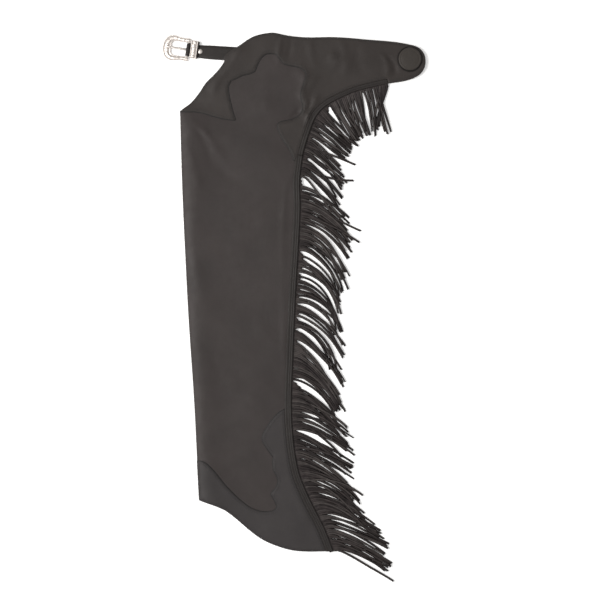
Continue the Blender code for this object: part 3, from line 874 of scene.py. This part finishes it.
def buckle_frame(bright, dark):
    outer = by_length(smooth_side(np.array(FRAME_OUTER, float), 0.8), 0.55)
    inner = smooth_side(np.array(FRAME_INNER, float), 0.8)
    inner = by_length(inner, length_of(inner) / (len(outer) - 1))[: len(outer)]
    flip = np.array([1, -1])
    outer = np.vstack([outer, (outer * flip)[-2::-1]])
    inner = np.vstack([inner, (inner * flip)[-2::-1]])
    curls = []
    middle = (outer + inner) / 2
    run = run_of(middle)
    for k, at in enumerate(np.arange(6, run[-1] - 3, 8.2)):
        x, y = read_at(middle, run, at)
        hand = 1 if k % 2 else -1
        curls.append(scroll(x, y, 3.3, 40 * k, 1.35, hand))
        curls.append(scroll(x + 1.2 * hand, y - 2.2 * hand, 2.0, 200 + 40 * k, 0.6, -hand))
    rings, dull = [], []
    for k, (a, b) in enumerate(zip(inner, outer)):
        rope = 0.35 * (0.5 + 0.5 * math.cos(TAU * run[k] / ROPE_PITCH))
        ring = []
        for share, height in FRAME_SECTION:
            on_rope = 0.82 < share <= 1.0 and height > 0.5
            ring.append((*(a + (b - a) * share), height - (0.35 - rope if on_rope else 0)))
        rings.append(ring)
    points, faces = tube_rows(rings)
    shares = np.tile([share for share, _ in FRAME_SECTION], len(rings))
    heights = np.tile([height for _, height in FRAME_SECTION], len(rings))
    face = (shares > 0.2) & (shares < 0.79) & (heights > 1)
    lift = raised(points[face][:, :2], curls, 0.62, 0.5)
    points[face, 2] += lift * 0.7 - 0.15
    made = mesh_object("buckle_frame_engraved", from_bar(points), faces)
    tone = np.zeros(len(points))
    tone[face] = lift
    for polygon in made.data.polygons:
        corners = list(polygon.vertices)
        flat = all(face[v] for v in corners) and tone[corners].mean() < 0.1
        groove = all(0.18 <= shares[v] <= 0.26 or 0.75 <= shares[v] <= 0.81 for v in corners)
        dull.append(bool(flat or groove and heights[corners].min() > 1))
    toned(finish_piece(made, "buckle", "silver", bright, "buckle_frame"), [dark], dull)
    bar = [[(BAR_RADIUS * math.cos(turn), side, BAR_RADIUS * math.sin(turn)) for turn in around(24)]
           for side in (-17, 17)]
    finish_piece(mesh_object("buckle_bar", *placed(tube_rows(bar), from_bar)), "buckle", "silver", bright)


def around(sides):
    """Angles spaced evenly round a full turn."""
    return np.linspace(0, TAU, sides, endpoint=False)


def placed(shape, place):
    points, faces = shape
    return place(points), faces


def prong(bright, dark):
    """The prong: a ring round the bar, dark silver as painted shade inside the strap's loop, and a tapered, rounded
    tongue that lies on the frame's end.
    """
    sections = [
        (-3.4, 0.9, 1.9, 1.2), (-6.5, 1.3, 2.2, 1.5), (-12, 1.9, 2.2, 1.45), (-22, 2.75, 2.05, 1.3),
        (-33, 3.65, 1.85, 1.05), (-41, 3.65, 1.6, 0.95), (-43.6, 3.5, 1.1, 0.7), (-44.4, 3.4, 0.4, 0.3),
    ]
    rings = []
    for along, z, wide, thick in smooth_side(np.array(sections), 1.5):
        rings.append([
            (along, wide * math.cos(turn), z + thick * math.sin(turn) * (1 if math.sin(turn) > 0 else 0.8))
            for turn in around(16)
        ])
    batch = Batch()
    batch.add(*tube_rows([ring[::-1] for ring in rings]))
    hoop = []
    for turn in np.linspace(math.radians(100), math.radians(440), 40):
        centre = np.array([3.05 * math.cos(turn), 0, 3.05 * math.sin(turn)])
        out = np.array([math.cos(turn), 0, math.sin(turn)])
        hoop.append([centre + out * 0.75 * math.cos(a) + np.array([0, 2.2 * math.sin(a), 0]) for a in around(14)])
    batch.add(*tube_rows(hoop))
    batch.points = [from_bar(points) for points in batch.points]
    made = finish_piece(batch.made("buckle_prong_rounded"), "prong", "silver", bright, "buckle_prong")
    tongue = len(batch.points[0])
    # the hoop inside the strap's loop takes the dark silver: painted shade
    toned(made, [dark], [p.vertices[0] >= tongue for p in made.data.polygons])


def keeper(bright, dark):
    """The keeper: a rounded band with beaded edges and a raised scroll along its face."""
    half, bottom, top, wall, corner = 18.0, 0.2, 10.0, 1.5, 2.6
    wide, tall = half - corner, (top - bottom) / 2 - corner
    loop = []
    for sign_x, sign_z, start in ((1, 1, 0), (-1, 1, 90), (-1, -1, 180), (1, -1, 270)):
        for angle in np.radians(np.linspace(start, start + 90, 9)):
            loop.append((sign_x * wide + corner * math.cos(angle), sign_z * tall + corner * math.sin(angle)))
    outer = by_length(np.array(loop + loop[:1]), 0.6)
    start, end = KEEPER_SPAN
    span = end - start
    section = [
        (0.0, 1.0), (0.0, 0.35), (0.03, 0.05), (0.08, 0.0), (0.13, 0.1), (0.17, 0.45), (0.22, 0.42), (0.3, 0.28),
        (0.4, 0.2), (0.5, 0.17), (0.6, 0.2), (0.7, 0.28), (0.78, 0.42), (0.83, 0.45), (0.87, 0.1), (0.92, 0.0),
        (0.97, 0.05), (1.0, 0.35), (1.0, 1.0),
    ]
    middle_z = (top + bottom) / 2
    normals, _ = lefts(outer, closed=False)
    rings = []
    curls = []
    for k in range(6):
        hand = 1 if k % 2 else -1
        curls.append(scroll(start + span * 0.5 + hand, KEEPER_SIDE - 13.5 + 5.4 * k, 2.6, 60 * k, 1.3, hand))
    for spot, normal in zip(outer, normals):
        ring = []
        for share, depth in section:
            place = spot + normal * (depth * wall)
            ring.append((start + span * share, place[0] + KEEPER_SIDE, place[1] + middle_z))
        rings.append(ring)
    points = np.vstack(rings)
    columns = len(section)
    shares = np.tile([share for share, _ in section], len(rings))
    face = (shares > 0.16) & (shares < 0.84) & (points[:, 2] > top - 1.4)
    lift = raised(points[face][:, :2], curls, 0.55, 0.45)
    points[face, 2] += lift - 0.12
    faces = grid_faces(len(rings), columns)
    for first in range(0, (len(rings) - 1) * columns, columns):
        faces.append([first + columns - 1, first + 2 * columns - 1, first + columns, first])
    made = mesh_object("keeper_engraved", from_strap(points), faces)
    tone = np.zeros(len(points))
    tone[face] = lift
    dull = [all(face[v] for v in p.vertices) and tone[list(p.vertices)].mean() < 0.08 for p in made.data.polygons]
    toned(finish_piece(made, "garment", "silver", bright, "keeper"), [dark], dull)
    return outer


def keeper_shade_lining(outline, trim):
    """A dark leather lining in the keeper, which stands out a little at its belt side and is open at its hidden end:
    a dark sheet that paints the shade in the keeper's mouth.
    """
    rows = ((16.0, 0.93), (20.2, 0.93), (20.8, 0.92), (20.8, 0.905), (20.2, 0.90), (16.0, 0.90))  # along, share
    rings = [[(along, x * share + KEEPER_SIDE, z * share + 5.1) for x, z in outline[:-1]] for along, share in rows]
    made = mesh_object("keeper_shade_lining", *placed(tube_rows(rings, closed_ends=False), from_strap))
    finish_piece(made, "garment", "trim_leather", trim)


STRAP_WIDTHS = [(-6, 12.4), (2, 12.75), (24, 12.75), (42, 13.6), (70, 14.0), (104, 14.0)]  # along, half width
STRAP_MIDDLE = [  # along, top
    (0.0, 8.0), (2.2, 7.35), (4.6, 6.05), (12, 5.9), (30, 6.0), (50, 6.1), (62, 5.85), (72, 5.4), (104, 5.4),
]
STRAP_THICK = 1.75
STRAP_SECTION = [  # share of the half width, share of the way from the outer face to the inner one
    (-1, 0.5), (-0.985, 0.2), (-0.955, 0.02), (-0.5, 0), (0, 0), (0.5, 0), (0.955, 0.02), (0.985, 0.2), (1, 0.5),
    (0.985, 0.8), (0.955, 0.98), (0, 1), (-0.955, 0.98), (-0.985, 0.8),
]


def looked_up(table, along):
    return np.interp(along, *zip(*table))


def strap(trim):
    """The strap: one length of leather round the bar and back beneath itself, its edges rounded."""
    rings = []

    def add_ring(along_top, along_low, top, low, half_along):
        """One cross-section, from the outer face (top) to the inner one (low)."""
        half = float(looked_up(STRAP_WIDTHS, half_along))
        rings.append([(along_top + (along_low - along_top) * share, side * half, top + (low - top) * share)
                      for side, share in STRAP_SECTION])

    for along in np.linspace(104, 2.2, 70):
        top = looked_up(STRAP_MIDDLE, along)
        add_ring(along, along, top, top - STRAP_THICK, along)
    out, into = 4.0, 2.35
    for turn in np.radians(np.linspace(100, 262, 22)):
        x, z = math.cos(turn), math.sin(turn)
        add_ring(out * x, into * x, BAR_HEIGHT + out * z, BAR_HEIGHT + into * z, 0)
    for along in np.linspace(2.6, 61, 40):
        rise = 2.0 * smoothstep(along, -0.5, 5.2)
        add_ring(along, along, rise, rise + STRAP_THICK, along)
    points, faces = tube_rows(rings)
    points[:, 1] += strap_bow(points[:, 0])
    made = mesh_object("strap_leather", from_strap(points), faces)
    return finish_piece(made, "garment", "trim_leather", trim, "buckle_strap")


def screw(bright):
    """The domed head of the screw that closes the strap round the bar."""
    radii = [(4.6, 5.9), (5.0, 6.15), (5.05, 6.6), (4.75, 7.1), (4.0, 7.55), (2.6, 7.9), (1.2, 8.05), (0.02, 8.1)]
    rings = [[(SCREW_ALONG + r * math.cos(turn), r * math.sin(turn), z) for turn in around(40)] for r, z in radii]
    made = mesh_object("strap_screw_head", *placed(tube_rows(rings), from_strap))
    finish_piece(made, "garment", "silver", bright, "strap_screw")


ROSETTE_AT = (459.4, -53.8)


def round_piece(name, profile, radius_of, lift):
    """A round piece about the rosette's centre from (radius, height) rows, bottom first."""
    x, y = ROSETTE_AT
    rings = [[(x + r * radius_of(t) * math.cos(t), y + r * radius_of(t) * math.sin(t), lift(r, t, z))
              for t in around(96)] for r, z in profile]
    return mesh_object(name, *tube_rows(rings))


def rosette(trim, cap_leather):
    floor = height_at(overlay_top, *ROSETTE_AT) - 0.2
    base = [(24.6, 0.0), (25.3, 0.35), (25.5, 1.1), (25.2, 1.8), (24.4, 2.25), (23.4, 2.2), (22.4, 1.9), (21.0, 1.9),
            (0.1, 1.9)]
    # The base takes near-black leather: its ring round the cap is painted shadow of the raised cap over its own dark
    # leather.
    made = round_piece("rosette_base_leather_painted_shadow", base,
                       lambda t: 1 + 0.004 * math.sin(3 * t + 1), lambda r, t, z: floor + z)
    finish_piece(made, "garment", "trim_leather", trim, "rosette_base")
    cap = [(21.8, 1.8), (22.6, 2.2), (22.8, 2.9), (22.6, 3.7), (22.0, 4.25), (20.8, 4.6), (18.9, 4.55), (18.3, 4.45),
           (17.6, 4.6), (16.0, 4.85), (12.0, 5.1), (8.0, 5.2), (4.0, 5.22), (0.1, 5.22)]

    def lift(r, t, z):
        uneven = 0.12 * math.sin(2 * t + 0.7) + 0.06 * math.sin(5 * t)
        return floor + z + uneven * smoothstep(r, 0, 20) * (r < 21.5)

    made = round_piece("rosette_cap_leather", cap,
                       lambda t: 1 + 0.006 * math.sin(2 * t + 0.4) + 0.003 * math.sin(5 * t), lift)
    finish_piece(made, "garment", "yoke_leather", cap_leather, "rosette_cap")


def zip_row(tape, teeth_material):
    """The closed zip under the edge strip: a tape and its two rows of interlocked teeth."""
    low, high = (corner.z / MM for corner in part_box("side_zip"))
    count = 160
    first, second = (by_length(smooth_side(side, 4.0), length_of(side) / count)[: count + 1]
                     for side in long_sides(top_border("side_zip")))
    if np.linalg.norm(first[0] - second[0]) > np.linalg.norm(first[0] - second[-1]):
        second = second[::-1]
    rings = [[(*a, low + 0.2), (*b, low + 0.2), (*b, low + 0.9), (*a, low + 0.9)] for a, b in zip(first, second)]
    if rings[0][0][1] > rings[-1][0][1]:
        rings = rings[::-1]
    finish_piece(mesh_object("zip_tape_woven", *tube_rows(rings)), "garment", "zip_tape", tape, "side_zip")
    middle = by_length((first[: len(second)] + second[: len(first)]) / 2, 2.6)
    batch = Batch()
    steps = np.diff(middle, axis=0)
    for k, (spot, step) in enumerate(zip(middle[:-1], steps)):
        step = step / np.linalg.norm(step)
        side = np.array([-step[1], step[0]])
        centre = spot + side * (0.6 if k % 2 else -0.6)
        corners = [centre + side * a + step * b for a, b in ((-1.7, -0.8), (1.7, -0.8), (1.7, 0.8), (-1.7, 0.8))]
        batch.add(*tube_rows([[(*corner, z) for corner in corners] for z in (low + 0.7, high)]))
    finish_piece(batch.made("zip_teeth"), "garment", "zip_tape", teeth_material)


# ---------------------------------------------------------------- materials

class Nodes:
    """A material's node tree, with one short call for each node."""

    def __init__(self, name):
        self.material = bpy.data.materials.new(name)
        self.material.use_nodes = True
        self.tree = self.material.node_tree
        self.shader = self.tree.nodes["Principled BSDF"]
        self.place = self.add("ShaderNodeTexCoord").outputs["Object"]

    def add(self, kind, inputs=None, **settings):
        node = self.tree.nodes.new(kind)
        for key, value in settings.items():
            setattr(node, key, value)
        for key, value in (inputs or {}).items():
            if isinstance(value, bpy.types.NodeSocket):
                self.tree.links.new(value, node.inputs[key])
            else:
                node.inputs[key].default_value = value
        return node

    def noise(self, scale, detail=3.0, rough=0.55):
        inputs = {"Vector": self.place, "Scale": scale, "Detail": detail, "Roughness": rough}
        return self.add("ShaderNodeTexNoise", inputs).outputs["Fac"]

    def ramp(self, value, low, high, low_at=0.3, high_at=0.7):
        node = self.add("ShaderNodeValToRGB", {"Fac": value})
        for stop, at, colour in zip(node.color_ramp.elements, (low_at, high_at), (low, high)):
            stop.position, stop.color = at, (*colour, 1)
        return node.outputs["Color"]

    def mapped(self, value, low, high):
        inputs = {"Value": value, "From Min": 0.3, "From Max": 0.7, "To Min": low, "To Max": high}
        return self.add("ShaderNodeMapRange", inputs).outputs["Result"]

    def bump(self, height, distance, strength=1.0, under=None):
        inputs = {"Height": height, "Distance": distance, "Strength": strength}
        if under is not None:
            inputs["Normal"] = under
        return self.add("ShaderNodeBump", inputs).outputs["Normal"]

    def set(self, **values):
        for key, value in values.items():
            socket = self.shader.inputs[key.replace("_", " ")]
            if isinstance(value, bpy.types.NodeSocket):
                self.tree.links.new(value, socket)
            else:
                socket.default_value = value
        return self.material


def leather(name, colour, spread=0.10, grain=1100.0, rough=(0.50, 0.62), mottle=14.0, specular=0.3):
    """Chap leather: a fine pebbled grain over pores, slow mottling and an uneven sheen."""
    n = Nodes(name)
    slow = n.noise(mottle, 4.0)
    dark = tuple(c * (1 - spread) for c in colour)
    light = tuple(c * (1 + spread) for c in colour)
    cells = n.add("ShaderNodeTexVoronoi", {"Vector": n.place, "Scale": grain}, feature="DISTANCE_TO_EDGE")
    near = cells.outputs["Distance"]
    pebble = n.add("ShaderNodeMath", {0: near, 1: 4.0}, operation="MULTIPLY", use_clamp=True).outputs[0]
    coarse = n.bump(n.noise(160.0, 3.0), 0.0004, 0.35)
    grained = n.bump(pebble, 0.00012, 0.5, coarse)
    pores = n.bump(n.noise(3400.0, 2.0), 0.00008, 0.5, grained)
    return n.set(
        Base_Color=n.ramp(slow, dark, light),
        Roughness=n.mapped(n.noise(60.0, 3.0), *rough),
        Specular_IOR_Level=specular,
        Normal=pores,
    )


def thread(name, colour):
    n = Nodes(name)
    dark = tuple(c * 0.7 for c in colour)
    return n.set(Base_Color=n.ramp(n.noise(900.0), dark, colour), Roughness=0.6,
                 Normal=n.bump(n.noise(2500.0), 0.0001, 0.5))


def silver(name, base=(0.68, 0.635, 0.60), tarnish=(0.54, 0.50, 0.47), rough=(0.38, 0.52)):
    """Bright silver plate, slightly worn, with duller tarnished patches spread by noise."""
    n = Nodes(name)
    worn = n.noise(420.0, 5.0, 0.65)
    return n.set(Base_Color=n.ramp(worn, tarnish, base, 0.28, 0.46), Metallic=1.0,
                 Roughness=n.mapped(n.noise(900.0), *rough), Normal=n.bump(n.noise(1500.0), 0.00006, 0.4))


# ---------------------------------------------------------------- camera, floor and light

FRAMED = 1.2  # metres across the picture
FRAME_CENTRE = [240, -535, 5]
FLOOR_HALF = 20
FLOOR_Z = -0.0002
WORLD_STRENGTH = 0.4
KEY_POWER = 86
FILL_POWER = 8
SHEEN_POWER = 6


def camera_and_floor():
    view = bpy.data.cameras.new("camera")
    view.lens = 85
    view.clip_end = 50
    camera = linked("camera", view)
    bpy.context.scene.camera = camera
    distance = FRAMED / 2 / math.tan(math.atan(view.sensor_width / 2 / view.lens))
    centre = in_frame(FRAME_CENTRE)
    camera.location = (centre[0], centre[1], centre[2] + distance)

    floor = bpy.data.meshes.new("floor")
    corners = [(x * FLOOR_HALF, y * FLOOR_HALF, FLOOR_Z) for x, y in ((-1, -1), (1, -1), (1, 1), (-1, 1))]
    floor.from_pydata(corners, [], [(0, 1, 2, 3)])
    ground = linked("floor", floor)
    n = Nodes("floor_white")
    ground.data.materials.append(n.set(
        Base_Color=n.ramp(n.noise(3.0), (0.90, 0.90, 0.90), (0.92, 0.92, 0.92)),
        Roughness=0.9,
        Specular_IOR_Level=0.1,
        Emission_Color=(1.0, 0.995, 0.99, 1),
        Emission_Strength=0.32,
    ))


def area_light(name, place, target, size, power, colour=(1, 1, 1)):
    data = bpy.data.lights.new(name, "AREA")
    data.shape, data.size, data.energy, data.color = "SQUARE", size, power, colour
    light = linked(name, data)
    light.location = place
    light.rotation_euler = (Vector(target) - Vector(place)).to_track_quat("-Z", "Y").to_euler()


def lights():
    world = bpy.data.worlds.new("studio")
    world.use_nodes = True
    background = world.node_tree.nodes["Background"]
    background.inputs["Color"].default_value = (1.0, 0.995, 0.985, 1)
    background.inputs["Strength"].default_value = WORLD_STRENGTH
    bpy.context.scene.world = world
    area_light("key", (-1.8, 0.15, 2.4), (0, -0.1, 0), 1.6, KEY_POWER, (1.0, 0.985, 0.965))
    area_light("fill", (2.2, -0.6, 2.2), (0, 0, 0), 2.0, FILL_POWER)
    area_light("left_sheen", (-2.4, -0.1, 0.75), (-0.25, -0.1, 0), 0.9, SHEEN_POWER, (0.93, 0.97, 1.0))
    bpy.context.scene.view_settings.view_transform = "Standard"


# ---------------------------------------------------------------- the whole thing

LEG_LEATHER = leather("leg_leather", (0.0298, 0.0235, 0.0223), spread=0.12)
YOKE_LEATHER = leather("yoke_leather", (0.0282, 0.0226, 0.0203), spread=0.16, mottle=10.0)
CAP_LEATHER = leather("cap_leather", (0.037, 0.031, 0.0265))
TRIM_LEATHER = leather("trim_leather", (0.0185, 0.0150, 0.0135), grain=1500.0)
HEM_LEATHER = leather("hem_leather", (0.0310, 0.0268, 0.0268))
# The last, the fringe's cut edge, is near black: dyed cut edges, and painted shade between the strands.
FRINGE_LEATHERS = [leather(name, colour, spread=spread, mottle=mottle, specular=specular)
                   for name, colour, spread, mottle, specular in (
                       ("fringe_leather", (0.030, 0.0235, 0.0225), 0.35, 110.0, 0.25),
                       ("fringe_leather_dark", (0.019, 0.0148, 0.0145), 0.35, 110.0, 0.2),
                       ("fringe_leather_worn", (0.041, 0.034, 0.032), 0.35, 110.0, 0.3),
                       ("fringe_cut_edge_and_shade", (0.0045, 0.0035, 0.0033), 0.3, 60.0, 0.1))]
# Near black, also so that the beads at the scallops' feet read as painted shadow as well as dyed edge.
THREAD_AND_EDGE_SHADOW = thread("black_thread_and_edge_shadow", (0.0075, 0.0065, 0.006))
# Darker than the trim: the rosette base's ring round the cap carries painted shadow of the raised cap.
ROSETTE_BASE_SHADOW_LEATHER = leather("rosette_base_leather_painted_shadow", (0.0105, 0.0085, 0.0078), grain=1500.0, specular=0.2)
SILVER = silver("silver_plate")
DULL_SILVER = silver("silver_recess", (0.57, 0.52, 0.49), (0.45, 0.41, 0.38), (0.42, 0.55))
# Dark silver for the prong's hoop inside the strap's loop: painted shade, not a different metal.
SHADED_SILVER = silver("silver_painted_shade_in_leather", (0.10, 0.09, 0.085), (0.05, 0.045, 0.04), (0.5, 0.6))
TAPE = thread("zip_tape", (0.012, 0.012, 0.012))


STITCH_INSETS = (1.9, 4.6)
SHORTEST_SEWN = 20
ON_LEG_EDGE = 15  # a scalloped piece's side whose middle is nearer the leg's outline than this lies along it


def dyed_edge_and_shadow_bead(batch, side):
    """A dark bead at the foot of a scalloped side, where it meets the leather below: partly the dyed cut edge, partly
    painted shadow under the step.
    """
    line = by_length(moved_in(side, -0.65, closed=False), 3.0)
    normals, _ = lefts(line, closed=False)
    base = leg_top(line[:, 0], line[:, 1])
    rings = []
    for spot, normal, z in zip(line, normals, base):
        rings.append([(*(spot + normal * 1.1 * math.cos(t)), z + 0.4 + 0.8 * math.sin(t)) for t in around(6)])
    batch.add(*tube_rows([ring[::-1] for ring in rings]))


def sewing(yoke_loop, hem_loop, leg_edge, yoke_edge):
    """The rows of black stitches: round the scallops, along the strips and round the leg's lower edge; and at the
    scallops' inner feet, near-black beads of dyed edge and painted shadow.
    """

    def on_overlay(x, y):
        return overlay_top(x, y) + 0.1

    batch = Batch()
    for loop in (yoke_loop, hem_loop):
        for side in sides_of(loop):
            if length_of(side) < SHORTEST_SEWN:
                continue
            middle = side[len(side) // 2]
            if distance_to(middle[None], LEG_OUTLINE, closed=True)[0] > ON_LEG_EDGE:
                # a near-black bead at the scallop's foot: dyed edge and painted shadow
                dyed_edge_and_shadow_bead(batch, side)
            for inset in STITCH_INSETS:
                stitches(batch, trimmed(moved_in(side, inset, closed=False), inset), on_overlay)
    for line, width, rows in ((leg_edge, LEG_STRIP_WIDTH, (0.27, 0.59)), (yoke_edge, YOKE_STRIP_WIDTH, (0.46,))):
        for share in rows:
            stitches(batch, moved_in(line, -width * share, closed=False), lambda x, y: leg_top(x, y) + 1.45)
    made = batch.made("stitching_and_edge_shadow")
    made.data.materials.append(THREAD_AND_EDGE_SHADOW)
    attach(made, "garment")
    return made


left_leg, right_leg = legs(LEG_LEATHER)
yoke, yoke_loop = overlay("left_yoke_leather", "left_yoke", "yoke_leather", YOKE_LEATHER, 21)
hem, hem_loop = overlay("left_hem_leather", "left_hem_overlay", "hem_leather", HEM_LEATHER, 22)
leg_strip, leg_edge = strip("left_leg_strip", "left_leg_edge_strip", LEG_STRIP_WIDTH, LEG_STRIP_PROFILE, TRIM_LEATHER)
yoke_strip, yoke_edge = strip("left_yoke_strip", "left_yoke_edge_strip", YOKE_STRIP_WIDTH, YOKE_STRIP_PROFILE,
                              TRIM_LEATHER)
left_yoke_strands, right_yoke_strands, left_leg_strands, right_leg_strands = fringes(
    (yoke_edge, leg_edge), FRINGE_LEATHERS)
stitching_and_edge_shadow = sewing(yoke_loop, hem_loop, leg_edge, yoke_edge)
strap_leather = strap(TRIM_LEATHER)
screw(SILVER)
keeper_shade_lining(keeper(SILVER, DULL_SILVER), TRIM_LEATHER)
buckle_frame(SILVER, DULL_SILVER)
prong(SILVER, SHADED_SILVER)
rosette(ROSETTE_BASE_SHADOW_LEATHER, CAP_LEATHER)
zip_row(TAPE, THREAD_AND_EDGE_SHADOW)

camera_and_floor()
lights()
